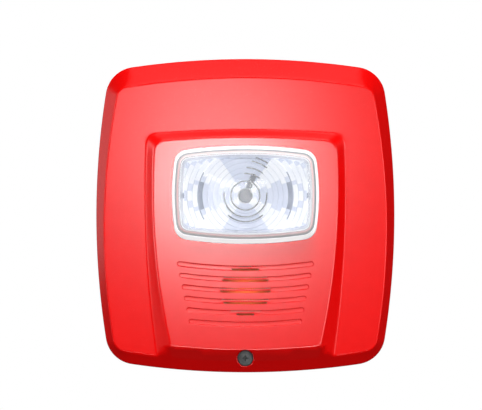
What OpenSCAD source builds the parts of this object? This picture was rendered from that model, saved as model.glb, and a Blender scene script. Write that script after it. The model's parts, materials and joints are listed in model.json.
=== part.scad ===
// Wall-mounted horn strobe for a fire alarm system.
// +Z is up, +X is to the right and the front faces -Y. The wall is the plane y = 0, and the
// origin is the middle of the base's back face. Depths are distances out from the wall.

/* [Body] */
// Width across the bowed sides
body_w = 127; // [125:0.5:130]
// Height from the bottom edge to the top edge
body_h = 133.5; // [132:0.5:136]
// Radius of the four bowed edges
bow_r = 335; // [300:5:400]
// Corner radius of the outline
corner_r = 13; // [11:0.5:15]
// Wall thickness of the cover
wall_t = 2.2; // [2:0.1:2.4]
// Depth of the cover's rear rim
rim_d = 3.4; // [3.4:0.1:3.8]
// Depth at which the side wall turns into the bevel
edge_d = 20; // [19.5:0.1:20.5]
// Depth of the lower face at mid height
face_d = 26.1; // [25.8:0.1:26.4]
// Depth gained by the lower face for each millimetre of height
face_tilt = 0.0275; // [0.02:0.0025:0.03]
// Depth of the raised panel at mid height
panel_d = 29.9; // [29.7:0.1:30.2]
// Depth gained by the raised panel for each millimetre of height
panel_tilt = 0.008; // [0.004:0.001:0.01]

/* [Strobe] */
// Width of the lens rim
lens_w = 62.2; // [61:0.2:63]
// Height of the lens rim
lens_h = 41.5; // [40.5:0.1:42]
// Height of the lens centre
lens_z = 8.9; // [8.5:0.1:9.2]
// Depth of the lens front
lens_d = 41.5; // [40:0.5:43]
// Radius of the flash tube
tube_r = 2.2; // [1.8:0.1:2.4]

/* [Horn] */
// Height of the horn centre
horn_z = -31.8; // [-32.5:0.1:-31]
// Radius of the sound outlet
outlet_r = 10.7; // [9.5:0.1:11]
// Grille grooves
groove_n = 6; // [4:1:6]
// Distance from one groove to the next
groove_pitch = 4.74; // [4.6:0.02:4.8]
// Height of a groove
groove_h = 2.34; // [2:0.02:2.6]
// Radius of the brass diaphragm
disc_r = 17.5; // [16.8:0.1:17.5]

/* [Fixings] */
// Hinge axis height
hinge_z = 59; // [58.5:0.1:59.3]
// Hinge axis depth
hinge_d = 6.2; // [6:0.1:6.4]
// Radius of the hinge pins
hinge_pin_r = 1.5; // [1.3:0.05:1.6]
// Running clearance of pins, rotors and sliders
fit = 0.05; // [0.03:0.01:0.08]
// Height of the captive screw
screw_z = -60.6; // [-61:0.1:-60.2]
// Radius of the captive screw's head
screw_head_r = 3.4; // [3:0.1:3.5]
// Distance between the screws of a one-gang box
gang_h = 83.3; // [83:0.1:84]
// Distance across the screws of a two-gang box
gang_w = 46; // [45.5:0.1:46.5]
// Distance between the screws of an octagonal box
octagon_w = 88.9; // [88:0.1:90]

/* [Hidden] */

red = [0.84, 0.07, 0.08];
black = [0.12, 0.12, 0.13];
steel = [0.75, 0.76, 0.78];
brass = [0.80, 0.58, 0.28];
clear = [0.93, 0.95, 0.98, 0.45];
skin = 0.01;
round_fn = 64;

// An outline is [half width, top, bottom, side radius, height of the widest point,
// top radius, bottom radius, upper corner radius, lower corner radius].
body_line = [body_w / 2, body_h / 2, -body_h / 2, bow_r, 0, bow_r, bow_r, corner_r, corner_r];
face_line = [body_w / 2 - 3.4, body_h / 2 - 7.85, -body_h / 2 + 4.65, 285, -5, 310, 300, 5.5, 5.5];
foot_line = [42.35, 36.3, -body_h / 2 + 4.65, 490, 10, 478, 300, 4.8, 0.6];
crest_line = [39.3, 33.5, -body_h / 2 + 10.15, 300, 11, 400, 200, 5, 0.6];
plate_line = [body_w / 2 - 2, hinge_z - 0.9, -body_h / 2 + 2, bow_r, 0, bow_r, bow_r, 10, 11];
lens_top = lens_z + lens_h / 2;
lens_bottom = lens_z - lens_h / 2;
rim_line = [lens_w / 2, lens_top, lens_bottom, 104, lens_z, 183, 172, 6, 6];
dome_line = [lens_w / 2 - 1.65, lens_top - 1.95, lens_bottom + 2.55, 103, lens_z, 180, 170, 4.8, 4.8];
mirror_line = [27, lens_top - 4.2, lens_bottom + 4.7, 103, lens_z, 180, 170, 4, 4];

// Depths inside the case
plate_t = 3;
block_d = 11;
back_d = 12.5;
back_t = 1.5;
board_d = 17;
board_t = 1.6;
board_face = board_d + board_t;
tray_d = 18.4;
lens_flange_d = 24.9;
lens_flange_t = 1.8;
lens_step_d = 31.1;
gasket_t = 0.8;
retainer_t = 1.2;
mirror_d = 29.5;
mirror_back_d = 20.3;
mirror_t = 1;
tube_z = lens_z - 0.4;
tube_tip_d = 35.4;

// Horn
horn_r = 20;
horn_front_d = 26.5;
horn_back_d = 19.4;
horn_notch = 1.85;
disc_d = 22.3;
disc_t = 0.3;
bow_groove_r = 205;
first_groove_z = horn_z + 2 * groove_pitch;
first_groove_hw = 29.1;
groove_step = 1;
groove_floor_d = 28.8;
slit_h = 0.8;
slit_drop = 0.55;
vent_h = 0.4;

// Screws and switches
screw_r = 1.6;
screw_seat_d = 21.9;
screw_tip_d = 5.3;
insert_top_d = 8.4;
insert_boss_r = 3.65;
boss_end_d = 13.5;
pole_x = [-16.5, -5.5, 5.5, 16.5];
clip_z = -16;
pole_screw_z = -26.5;
box_screws = [for (x = [-1, 1], z = [-1, 1]) [x * gang_w / 2, z * gang_h / 2]];
case_screws = [for (x = [-52, 52], z = [-30, 30]) [x, z]];
board_corners = [for (x = [-42, 42], z = [-46, 44]) [x, z]];
retainer_points = [for (x = [-35.2, 35.2], z = [-6, 22]) [x, z]];
hinge_x = 30;
switch_z = 43;
candela_x = -30;
volume_x = 0;
tone_x = 30;
entry_w = 42;
entry_h = 30;
entry_z = 19;
slot_w = 4.4;
slot_l = 8;

// Points on an arc, without its first one
function arc(c, r, a0, a1, n) =
    [for (i = [1:n]) c + r * [cos(a0 + (a1 - a0) * i / n), sin(a0 + (a1 - a0) * i / n)]];

// Where two circles cross, on the left (1) or the right (-1) of the line between them
function crossing(c1, r1, c2, r2, side) =
    let (v = c2 - c1, d = norm(v), a = (r1 * r1 - r2 * r2 + d * d) / (2 * d), h = sqrt(r1 * r1 - a * a))
    c1 + v * a / d + side * h * [-v.y, v.x] / d;

function heading(from, to) = atan2(to.y - from.y, to.x - from.x);

// Bowed outline with rounded corners
function bowed(b) =
    let (
        side = [b[0] - b[3], b[4]],
        top = [0, b[1] - b[5]],
        bottom = [0, b[2] + b[6]],
        up = crossing(side, b[3] - b[7], top, b[5] - b[7], 1),
        low = crossing(side, b[3] - b[8], bottom, b[6] - b[8], -1),
        half = concat(
            [[0, b[2]]],
            arc(bottom, b[6], -90, heading(bottom, low), 6),
            arc(low, b[8], heading(bottom, low), heading(side, low), 6),
            arc(side, b[3], heading(side, low), heading(side, up), 12),
            arc(up, b[7], heading(side, up), heading(top, up), 6),
            arc(top, b[5], heading(top, up), 90, 6)
        )
    )
    concat(half, [for (i = [len(half) - 2:-1:1]) [-half[i].x, half[i].y]]);

// The same outline, drawn in by t on every side
function drawn_in(b, t) = [
    b[0] - t, b[1] - t, b[2] + t, b[3] - t, b[4], b[5] - t, b[6] - t,
    max(b[7] - t, 0.5), max(b[8] - t, 0.5)
];

// A groove that sags in the middle and has round ends
function sagging(hw, z, h) =
    let (
        c = [0, z + bow_groove_r],
        a = asin((hw - h / 2) / bow_groove_r),
        right = c + bow_groove_r * [sin(a), -cos(a)],
        left = c - bow_groove_r * [sin(a), cos(a)]
    )
    concat(
        arc(c, bow_groove_r + h / 2, -90 - a, -90 + a, 12),
        arc(right, h / 2, a - 90, a + 90, 6),
        arc(c, bow_groove_r - h / 2, -90 + a, -90 - a, 12),
        arc(left, h / 2, 90 - a, 270 - a, 6)
    );

function groove_z(i) = first_groove_z - i * groove_pitch;
function chord(z) = sqrt(max(outlet_r * outlet_r - (z - horn_z) * (z - horn_z), 0));

// A drawing in X and Z, made solid from one depth to another
module slab(d0, d1) {
    rotate([90, 0, 0]) translate([0, 0, d0]) linear_extrude(d1 - d0) children();
}

module peg(x, z, r, d0, d1) {
    slab(d0, d1) translate([x, z]) circle(r, $fn = round_fn);
}

module block(x, z, w, h, d0, d1) {
    slab(d0, d1) translate([x, z]) square([w, h], center = true);
}

module rounded(w, h, r) {
    polygon(concat(
        arc([w / 2 - r, h / 2 - r], r, 0, 90, 6),
        arc([r - w / 2, h / 2 - r], r, 90, 180, 6),
        arc([r - w / 2, r - h / 2], r, 180, 270, 6),
        arc([w / 2 - r, r - h / 2], r, 270, 360, 6)
    ));
}

// A thin sheet on a face that leans out by tilt for each millimetre of height
module leaning(d, tilt) {
    multmatrix([[1, 0, 0, 0], [0, 1, -tilt, 0], [0, 0, 1, 0]]) slab(d - skin, d) children();
}

module rod(p, q, r) {
    v = q - p;
    translate(p)
        rotate([0, acos(v.z / norm(v)), atan2(v.y, v.x)])
            cylinder(h = norm(v), r = r, $fn = 32);
}

module slot(x, z, along) {
    translate([x, z]) rotate(along) {
        square([slot_l - slot_w, slot_w], center = true);
        for (s = [-1, 1]) translate([s * (slot_l - slot_w) / 2, 0]) circle(slot_w / 2, $fn = round_fn);
    }
}

// A pan-head screw that points at the wall (way = -1) or away from it (way = 1)
module pan_screw(x, z, seat, way, head_r, head_h, r, l) {
    difference() {
        union() {
            peg(x, z, head_r, min(seat, seat - way * head_h), max(seat, seat - way * head_h));
            peg(x, z, r, min(seat, seat + way * l), max(seat, seat + way * l));
        }
        for (a = [0, 90])
            translate([x, -seat + way * head_h, z])
                rotate([0, a, 0]) cube([head_r * 1.1, head_h, head_r * 0.28], center = true);
    }
}

// Bevelled body with the raised panel, t smaller all round
module case_form(t) {
    hull() {
        slab(rim_d - min(t, 1), edge_d - 0.6 * t) polygon(bowed(drawn_in(body_line, t)));
        leaning(face_d - t, face_tilt) polygon(bowed(drawn_in(face_line, 0.6 * t)));
    }
    hull() {
        leaning(face_d - t - 2 * skin, face_tilt) polygon(bowed(drawn_in(foot_line, 0.6 * t)));
        leaning(panel_d - t, panel_tilt) polygon(bowed(drawn_in(crest_line, 0.6 * t)));
    }
}

module grille_cuts() {
    for (i = [0:groove_n - 1]) {
        z = groove_z(i);
        slab(groove_floor_d, panel_d + 1) polygon(sagging(first_groove_hw - i * groove_step, z, groove_h));
        slit_z = z - slit_drop;
        vent_z = z + groove_h / 2 - vent_h / 2;
        if (chord(slit_z) > 2) slab(panel_d - 4, panel_d + 1) polygon(sagging(chord(slit_z), slit_z, slit_h));
        if (chord(vent_z) > 2) slab(panel_d - 4, panel_d + 1) polygon(sagging(chord(vent_z), vent_z, vent_h));
    }
}

module front_cover() {
    color(red) difference() {
        case_form(0);
        difference() {
            case_form(wall_t);
            for (p = case_screws) peg(p.x, p.y, 3, back_d + back_t + 0.1, face_d);
            for (p = retainer_points) peg(p.x, p.y, 1.9, lens_flange_d, panel_d);
            peg(0, screw_z, 5, boss_end_d, panel_d);
        }
        slab(lens_flange_d - 4, panel_d + 5) polygon(bowed(drawn_in(rim_line, -0.15)));
        grille_cuts();
        peg(0, screw_z, screw_head_r + 0.5, screw_seat_d, panel_d + 5);
        peg(0, screw_z, screw_r + fit, boss_end_d - 5, panel_d);
        for (p = case_screws) peg(p.x, p.y, 1.25, back_d, face_d - 4.6);
        for (p = retainer_points) peg(p.x, p.y, 0.9, lens_flange_d - 1, panel_d - 2.4);
        translate([0, -rim_d, body_h / 2 - 1.8])
            rotate([45, 0, 0]) translate([-body_w / 2, 0, 0]) cube([body_w, 6, 6]);
    }
}

module lens_form(t) {
    hull() {
        slab(lens_step_d - 5, lens_step_d) polygon(bowed(drawn_in(dome_line, t)));
        slab(lens_d - 4.2 - t, lens_d - 4 - t) polygon(bowed(drawn_in(dome_line, t + 1.5)));
        slab(lens_d - 1.6 - t, lens_d - 1.5 - t) polygon(bowed(drawn_in(dome_line, t + 4)));
        slab(lens_d - 0.1 - t, lens_d - t) polygon(bowed(drawn_in(dome_line, t + 11)));
    }
}

module lens() {
    color(clear) difference() {
        union() {
            slab(lens_flange_d, lens_flange_d + lens_flange_t) polygon(bowed(drawn_in(rim_line, -1.6)));
            slab(lens_flange_d, lens_step_d) polygon(bowed(rim_line));
            lens_form(0);
        }
        lens_form(1.8);
        slab(lens_flange_d - 1, lens_step_d - 1) polygon(bowed(drawn_in(dome_line, 1.8)));
    }
}

module lens_gasket() {
    front = lens_flange_d + lens_flange_t;
    color(black) slab(front, front + gasket_t) difference() {
        polygon(bowed(drawn_in(rim_line, -1.6)));
        polygon(bowed(drawn_in(rim_line, -0.3)));
    }
}

module lens_retainer() {
    color(black) slab(lens_flange_d - retainer_t - 0.05, lens_flange_d - 0.05) difference() {
        translate([0, lens_z]) rounded(74.4, 44.6, 4);
        polygon(bowed(drawn_in(dome_line, 1.2)));
        for (p = retainer_points) translate(p) circle(1.1, $fn = round_fn);
    }
}

module retainer_screws() {
    seat = lens_flange_d - retainer_t - 0.05;
    color(steel) for (p = retainer_points) pan_screw(p.x, p.y, seat, 1, 1.8, 1.2, 0.85, 3.4);
}

module mirror_form(t) {
    hull() {
        slab(mirror_d, mirror_d + skin) polygon(bowed(drawn_in(mirror_line, t)));
        slab(mirror_d - 4, mirror_d - 4 + skin) polygon(bowed(drawn_in(mirror_line, t + 3)));
        slab(mirror_back_d + t, mirror_back_d + t + skin) polygon(bowed(drawn_in(mirror_line, t + 9)));
    }
}

module reflector() {
    color(steel) difference() {
        union() {
            mirror_form(0);
            for (x = [-12, 12]) peg(x, lens_z, 1.6, board_face, mirror_back_d + 0.5);
        }
        translate([0, -skin, 0]) mirror_form(mirror_t);
        peg(0, tube_z, 3.2, mirror_back_d - 1, mirror_d);
        peg(3.5, tube_z + 8.1, 1.7, mirror_back_d - 1, mirror_d);
    }
}

module flash_tube() {
    color(clear) peg(0, tube_z, tube_r, board_face + 1.4, tube_tip_d);
}

module tube_caps() {
    color(steel) {
        difference() {
            peg(0, tube_z, tube_r + 0.9, tube_tip_d - 2, tube_tip_d + 1.4);
            peg(0, tube_z, tube_r, tube_tip_d - 3, tube_tip_d);
        }
        peg(0, tube_z, 0.5, board_d - 0.8, board_face + 1.4);
    }
}

module tube_holder() {
    color("white") difference() {
        peg(0, tube_z, 4.6, board_face, mirror_back_d - 0.1);
        peg(0, tube_z, tube_r, board_face + 1.4, mirror_back_d);
        peg(0, tube_z, 0.5, board_d, board_face + 1.4);
    }
}

module trigger_wire() {
    color(steel) for (i = [0:4])
        translate([0, -22.4 - 2.1 * i, tube_z])
            rotate([90, 0, 0]) rotate_extrude($fn = round_fn) translate([tube_r + 0.2, 0]) circle(0.2, $fn = 16);
}

module return_lead() {
    front = -tube_tip_d - 0.6;
    elbow = [3.5, front + 1.2, tube_z + 8.1];
    color("gray") {
        rod([1.43, front, tube_z + 3.3], elbow, 1.2);
        translate(elbow) sphere(1.35, $fn = 32);
        rod(elbow, [elbow.x, -board_face, elbow.z], 1.2);
    }
}

module horn_housing() {
    color(black) difference() {
        union() {
            peg(0, horn_z, horn_r, horn_back_d, horn_front_d);
            for (a = [90, 210, 330])
                peg(19 * cos(a), horn_z + 19 * sin(a), 0.9, board_face, horn_back_d + 1);
        }
        peg(0, horn_z, outlet_r, horn_back_d - 1, horn_front_d + 1);
        peg(0, horn_z, disc_r - 1, disc_d, horn_front_d - 1.2);
        peg(0, horn_z, disc_r + 0.2, horn_back_d - 1, disc_d + disc_t);
        peg(0, horn_z, disc_r + 0.8, horn_back_d - 1, horn_back_d + 1.2);
        block(0, lens_bottom, 2 * horn_r, 2 * horn_notch, lens_flange_d - 1.5, horn_front_d + 1);
    }
}

module horn_back() {
    color(black) difference() {
        union() {
            peg(0, horn_z, disc_r + 0.7, horn_back_d, horn_back_d + 1.2);
            peg(0, horn_z, disc_r + 0.1, horn_back_d, disc_d);
        }
        peg(0, horn_z, disc_r - 1.2, horn_back_d + 1.2, disc_d + 1);
        for (x = [-6, 15]) peg(x, horn_z, 0.9, horn_back_d - 1, horn_back_d + 2);
    }
}

module horn_gasket() {
    color(black) slab(horn_front_d, horn_front_d + gasket_t) translate([0, horn_z]) difference() {
        circle(outlet_r + 4, $fn = round_fn);
        circle(outlet_r + 0.5, $fn = round_fn);
    }
}

module piezo_disc() {
    color(brass) peg(0, horn_z, disc_r, disc_d, disc_d + disc_t);
}

module piezo_ceramic() {
    color("ivory") peg(0, horn_z, disc_r - 5, disc_d - 0.25, disc_d);
}

module piezo_leads() {
    color("firebrick") {
        peg(-6, horn_z, 0.5, board_face, disc_d - 0.25);
        peg(15, horn_z, 0.5, board_face, disc_d);
    }
}

module circuit_board() {
    color("darkgreen") difference() {
        slab(board_d, board_face) translate([0, -1]) rounded(94, 102, 3);
        block(-27.5, -33.5, 11.4, 26.2, board_d - 1, board_face + 1);
        for (p = board_corners) peg(p.x, p.y, 1.6, board_d - 1, board_face + 1);
        for (x = pole_x) block(x, clip_z, 1, 4.2, board_d - 1, board_face + 1);
        peg(0, tube_z, 0.5, board_d - 1, board_face + 1);
    }
}

module board_screws() {
    color(steel) for (p = board_corners) pan_screw(p.x, p.y, board_face, -1, 2.6, 1.7, 1.2, 4.2);
}

module contact_blades() {
    color(brass) for (x = pole_x) block(x, clip_z, 0.8, 4, 5.2, board_face + 0.4);
}

module flash_capacitor() {
    color("midnightblue") translate([-27.5, -20.9, -46]) {
        cylinder(h = 25, r = 5, $fn = round_fn);
        for (x = [-2.5, 2.5]) translate([x, 0, -2.5]) cylinder(h = 2.6, r = 0.4, $fn = 24);
    }
}

module trigger_transformer() {
    color("gold") block(28, -22, 7.6, 5, board_face + 1, board_face + 6);
    color(black) for (s = [-1, 1]) block(28 + s * 4.2, -22, 0.8, 8, board_face, board_face + 7);
}

module charging_inductor() {
    color("dimgray") {
        for (d = [0, 5.4]) peg(28, -40, 5.4, board_face + d, board_face + d + 1.4);
    }
    color("peru") peg(28, -40, 4.2, board_face + 1.4, board_face + 5.4);
}

module power_transistor() {
    color(black) block(40, 10, 6.6, 6.2, board_face + 0.5, board_face + 2.8);
    color(steel) {
        block(40, 13.9, 5.4, 1.6, board_face, board_face + 0.9);
        block(40, 10, 5.4, 6.2, board_face, board_face + 0.5);
    }
}

module controller_chip() {
    color(black) block(-40, 6, 4, 9.8, board_face + 0.2, board_face + 1.7);
    color(steel) for (i = [0:7], s = [-1, 1])
        block(-40 + s * 2.5, 1.6 + i * 1.27, 1, 0.4, board_face, board_face + 0.9);
}

module filter_capacitors() {
    color("silver") for (z = [20, 30]) {
        peg(-40, z, 3.1, board_face + 0.5, board_face + 4.3);
        block(-40, z, 6.4, 6.4, board_face, board_face + 0.5);
    }
}

module resistors() {
    color("tan") for (z = [-14, -8, -2]) block(41, z, 5, 2.5, board_face, board_face + 0.7);
}

module rear_housing() {
    color(black) difference() {
        union() {
            slab(back_d, back_d + back_t) polygon(bowed(drawn_in(body_line, wall_t + 0.4)));
            slab(back_d, tray_d) difference() {
                polygon(bowed(drawn_in(body_line, wall_t + 0.4)));
                polygon(bowed(drawn_in(body_line, wall_t + 2)));
            }
            for (p = board_corners) peg(p.x, p.y, 3.2, back_d, board_d);
            for (s = [-1, 1]) {
                slab_x(s * hinge_x, 6) difference() {
                    union() {
                        circle(2.5, $fn = round_fn);
                        translate([0, -2.5]) square([back_d - hinge_d + 0.5, 4.2]);
                    }
                    circle(hinge_pin_r + fit, $fn = round_fn);
                }
            }
        }
        for (s = [-1, 1]) slab_x(s * hinge_x, 7) rotate(200) translate([0, -1.2]) square([5, 2.4]);
        for (p = case_screws) peg(p.x, p.y, 1.5, back_d - 1, back_d + back_t + 1);
        for (p = board_corners) peg(p.x, p.y, 1.2, back_d + 0.2, board_d + 1);
        for (x = pole_x) block(x, clip_z, 2.6, 6.4, back_d - 1, board_d);
        block(candela_x, switch_z, 14.6, 6.6, back_d - 1, board_d);
        block(volume_x, switch_z, 12.6, 6.6, back_d - 1, board_d);
        peg(tone_x, switch_z, 5.4, back_d - 1, board_d);
        peg(0, screw_z, 5.4, back_d - 1, tray_d + 1);
    }
}

// A drawing in depth and height about the hinge axis, made solid along X about x
module slab_x(x, w) {
    translate([x + w / 2, -hinge_d, hinge_z])
        rotate([0, 0, -90]) rotate([90, 0, 0]) linear_extrude(w) children();
}

module housing_screws() {
    color(steel) for (p = case_screws) pan_screw(p.x, p.y, back_d, 1, 2.8, 1.6, 1.2, 8.4);
}

module slide_switch(x, w) {
    difference() {
        block(x, switch_z, w, 6, back_d - 0.2, board_d);
        block(x, switch_z, w - 4, 2, back_d - 1, back_d + 2);
    }
}

module slide_knob(x) {
    block(x, switch_z, 3, 2 - 2 * fit, back_d + 0.3, back_d + 1.9);
    block(x, switch_z, 1.8, 1.5, back_d - 2, back_d + 0.3);
}

module candela_switch() {
    color("white") slide_switch(candela_x, 14);
}

module candela_slider() {
    color(black) slide_knob(candela_x - 3.4);
}

module volume_switch() {
    color("white") slide_switch(volume_x, 12);
}

module volume_slider() {
    color(black) slide_knob(volume_x - 2.4);
}

module tone_switch() {
    color("white") difference() {
        peg(tone_x, switch_z, 5, back_d - 0.2, board_d);
        peg(tone_x, switch_z, 3.4 + fit, back_d - 1, back_d + 2.5);
    }
}

module tone_dial() {
    color(black) difference() {
        peg(tone_x, switch_z, 3.4, back_d - 1.2, back_d + 2.4);
        block(tone_x, switch_z, 5.6, 1, back_d - 2, back_d - 0.2);
        block(tone_x + 2, switch_z, 2, 1.8, back_d - 2, back_d - 0.2);
    }
}

module captive_screw() {
    color("dimgray") difference() {
        union() {
            peg(0, screw_z, screw_head_r - 0.5, screw_seat_d, screw_seat_d + 2.4);
            peg(0, screw_z, screw_head_r, screw_seat_d, screw_seat_d + 1.7);
            peg(0, screw_z, screw_r, screw_tip_d, screw_seat_d);
        }
        for (w = [[3.4, 0.8], [0.8, 3.4]]) block(0, screw_z, w.x, w.y, screw_seat_d + 0.9, screw_seat_d + 3);
        peg_ring(0, screw_z, screw_r - 0.35, screw_r + 1, insert_top_d + 0.5, insert_top_d + 1.6);
    }
}

module peg_ring(x, z, r0, r1, d0, d1) {
    slab(d0, d1) translate([x, z]) difference() {
        circle(r1, $fn = round_fn);
        circle(r0, $fn = round_fn);
    }
}

module screw_retainer() {
    color("white") peg_ring(0, screw_z, screw_r - 0.35 + fit, 3.4, insert_top_d + 0.55, insert_top_d + 1.55);
}

module threaded_insert() {
    color(brass) peg_ring(0, screw_z, screw_r + 0.35, 3, plate_t, insert_top_d);
}

module mounting_plate() {
    color(red) {
        difference() {
            union() {
                slab(0, plate_t) polygon(bowed(plate_line));
                slab(0, plate_t + 1.6) difference() {
                    polygon(bowed(drawn_in(plate_line, 3)));
                    polygon(bowed(drawn_in(plate_line, 4.5)));
                }
                slab(0, plate_t + 1.6) translate([0, entry_z]) rounded(entry_w + 3, entry_h + 3, 5);
                peg(0, screw_z, insert_boss_r, 0, insert_top_d - 0.4);
            }
            slab(-1, plate_t + 3) translate([0, entry_z]) rounded(entry_w, entry_h, 4);
            slab(-1, plate_t + 3) {
                for (p = box_screws) slot(p.x, p.y, 0);
                for (s = [-1, 1]) slot(0, s * gang_h / 2, 90);
                for (s = [-1, 1]) slot(s * octagon_w / 2, 0, 0);
            }
            peg(0, screw_z, 3, plate_t, insert_top_d + 1);
            peg(0, screw_z, screw_r + 0.35, 1, insert_top_d + 1);
            for (x = [-27, 27]) peg(x, -20, 1.2, -1, plate_t + 1);
            for (s = [-1, 1]) block(s * hinge_x, hinge_z, 6.6, 9, -1, plate_t + 2);
        }
        for (s = [-1, 1]) {
            for (w = [-4.6, 4.6]) slab_x(s * hinge_x + w, 2.6) hinge_lug();
            slab_x(s * hinge_x, 9) circle(hinge_pin_r, $fn = round_fn);
        }
    }
}

module hinge_lug() {
    circle(2.4, $fn = round_fn);
    polygon([[-2.4, 0], [2.4, 0], [0.6, -6], [plate_t - hinge_d - 0.5, -6], [plate_t - hinge_d - 0.5, -1.6]]);
}

module terminal_block() {
    color(black) difference() {
        union() {
            block(0, -21.5, 46, 21, plate_t, block_d - 2.4);
            for (x = [-22, -11, 0, 11, 22]) block(x, -21.5, 1.6, 21, plate_t, block_d);
            block(0, clip_z, 46, 10, plate_t, block_d);
            for (s = [-1, 1]) block(s * 26, -20, 7, 9, plate_t, plate_t + 3);
        }
        for (x = pole_x) {
            block(x, clip_z, 3, 8, plate_t + 0.6, block_d + 1);
            peg(x, pole_screw_z, 1.6, plate_t + 0.6, block_d);
            block(x, pole_screw_z - 2, 3.6, 8, plate_t + 2.2, plate_t + 4);
        }
        for (s = [-1, 1]) peg(s * 27, -20, 1.4, plate_t - 1, plate_t + 4);
    }
}

module terminal_block_screws() {
    color(steel) for (x = [-27, 27]) pan_screw(x, -20, plate_t + 3, -1, 2.4, 1.5, 1.15, 5);
}

module terminal_screws() {
    seat = block_d - 1.2;
    color(steel) for (x = pole_x) pan_screw(x, pole_screw_z, seat, -1, 2.8, 1.8, 1.5, 4.5);
}

module wire_clamps() {
    color(steel) slab(block_d - 2.3, block_d - 1.2) for (x = pole_x) translate([x, pole_screw_z]) difference() {
        square([7.4, 7], center = true);
        circle(1.6, $fn = round_fn);
    }
}

module contact_clips() {
    color(brass) for (x = pole_x) {
        for (s = [-1, 1]) block(x + s * 0.75, clip_z, 0.6, 6, plate_t + 1.2, block_d - 1);
        block(x, clip_z, 2.1, 6, plate_t + 0.6, plate_t + 1.2);
    }
}

mounting_plate();
terminal_block();
terminal_block_screws();
terminal_screws();
wire_clamps();
contact_clips();
threaded_insert();
front_cover();
rear_housing();
housing_screws();
circuit_board();
board_screws();
contact_blades();
flash_capacitor();
trigger_transformer();
charging_inductor();
power_transistor();
controller_chip();
filter_capacitors();
resistors();
lens();
lens_gasket();
lens_retainer();
retainer_screws();
reflector();
flash_tube();
tube_caps();
tube_holder();
trigger_wire();
return_lead();
horn_housing();
horn_back();
horn_gasket();
piezo_disc();
piezo_ceramic();
piezo_leads();
candela_switch();
candela_slider();
volume_switch();
volume_slider();
tone_switch();
tone_dial();
captive_screw();
screw_retainer();
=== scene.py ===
# %% [markdown]
# # A red horn strobe, dressed in Blender
#
# A horn strobe hangs on the wall, flashes and sounds when there is a fire. The working model has
# already been designed as separate parts. This lesson gives those parts their looks: crisp moulded
# plastic, a clear lens with prisms, a bright reflector and metal that looks like metal.
#
# The first step loads the working model as a fixed frame. Everything that follows is measured
# from it, so that nothing has to be fitted by eye.

# %% Load the working model
import json
import math

import bmesh
import bpy
import numpy as np
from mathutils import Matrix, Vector
from mathutils.geometry import delaunay_2d_cdt


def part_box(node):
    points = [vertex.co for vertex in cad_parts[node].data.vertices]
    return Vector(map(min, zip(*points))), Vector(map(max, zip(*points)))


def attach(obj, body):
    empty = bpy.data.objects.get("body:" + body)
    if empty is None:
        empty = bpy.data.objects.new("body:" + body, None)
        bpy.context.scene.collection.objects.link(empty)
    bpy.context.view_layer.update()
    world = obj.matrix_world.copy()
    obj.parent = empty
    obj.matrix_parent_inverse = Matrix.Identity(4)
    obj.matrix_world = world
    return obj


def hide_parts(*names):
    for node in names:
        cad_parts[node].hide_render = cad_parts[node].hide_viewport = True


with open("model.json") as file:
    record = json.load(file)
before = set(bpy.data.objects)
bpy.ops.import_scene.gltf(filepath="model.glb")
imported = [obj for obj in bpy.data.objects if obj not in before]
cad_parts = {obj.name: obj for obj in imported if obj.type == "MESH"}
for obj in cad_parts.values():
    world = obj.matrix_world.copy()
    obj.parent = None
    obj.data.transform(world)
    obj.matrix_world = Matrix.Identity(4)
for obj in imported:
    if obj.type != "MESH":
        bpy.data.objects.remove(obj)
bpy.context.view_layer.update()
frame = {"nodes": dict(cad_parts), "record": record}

MM = 0.001


def node_box(name):
    """A CAD node's box in mm, as (left, right), (back, front) and (bottom, top)."""
    low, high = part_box(name)
    return (low.x / MM, high.x / MM), (-high.y / MM, -low.y / MM), (low.z / MM, high.z / MM)


case_x, case_d, case_z = node_box("front_cover")
print("Case, in mm: across", case_x, "out from the wall", case_d, "high", case_z)

# %% [markdown]
# ## Camera, light and floor
#
# The camera looks straight at the front from two metres, which keeps the perspective gentle.
# Two kinds of lamp do two jobs. Some light the plastic but aren't mirrored in it: one near the
# camera, one overhead and a weak one at each side, which together set how bright each bevel is.
# The others are mirrored but light nothing: a small one close to the front draws the broad pale
# highlight, and strips at the left, right, top and bottom draw the lines on the rounded edges.
# The world is white to the camera and nearly dark to everything else, so shaded plastic stays
# saturated.

# %% Camera
CAMERA_DISTANCE = 2.0
EDGE_D = 20
view_width = 1.6164 * (case_x[1] - case_x[0]) * MM
camera_data = bpy.data.cameras.new("camera")
camera_data.sensor_width = 36
camera_data.lens = camera_data.sensor_width * CAMERA_DISTANCE / view_width
camera = bpy.data.objects.new("camera", camera_data)
camera.location = (-1.86 * MM, -CAMERA_DISTANCE - EDGE_D * MM, 4.54 * MM)
camera.rotation_euler = (math.pi / 2, 0, 0)
bpy.context.scene.collection.objects.link(camera)
bpy.context.scene.camera = camera
bpy.context.scene.view_settings.view_transform = "Standard"
print("Lens:", round(camera_data.lens, 1), "mm")


# %% Lamps
def lamp(name, place, size, watts, glossy=True, diffuse=True):
    """A square softbox that faces the object."""
    data = bpy.data.lights.new(name, "AREA")
    data.size = size
    data.energy = watts
    obj = bpy.data.objects.new(name, data)
    obj.location = place
    obj.rotation_euler = Vector(place).to_track_quat("Z", "Y").to_euler()
    obj.visible_camera = False
    obj.visible_glossy = glossy
    obj.visible_diffuse = diffuse
    bpy.context.scene.collection.objects.link(obj)


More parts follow.
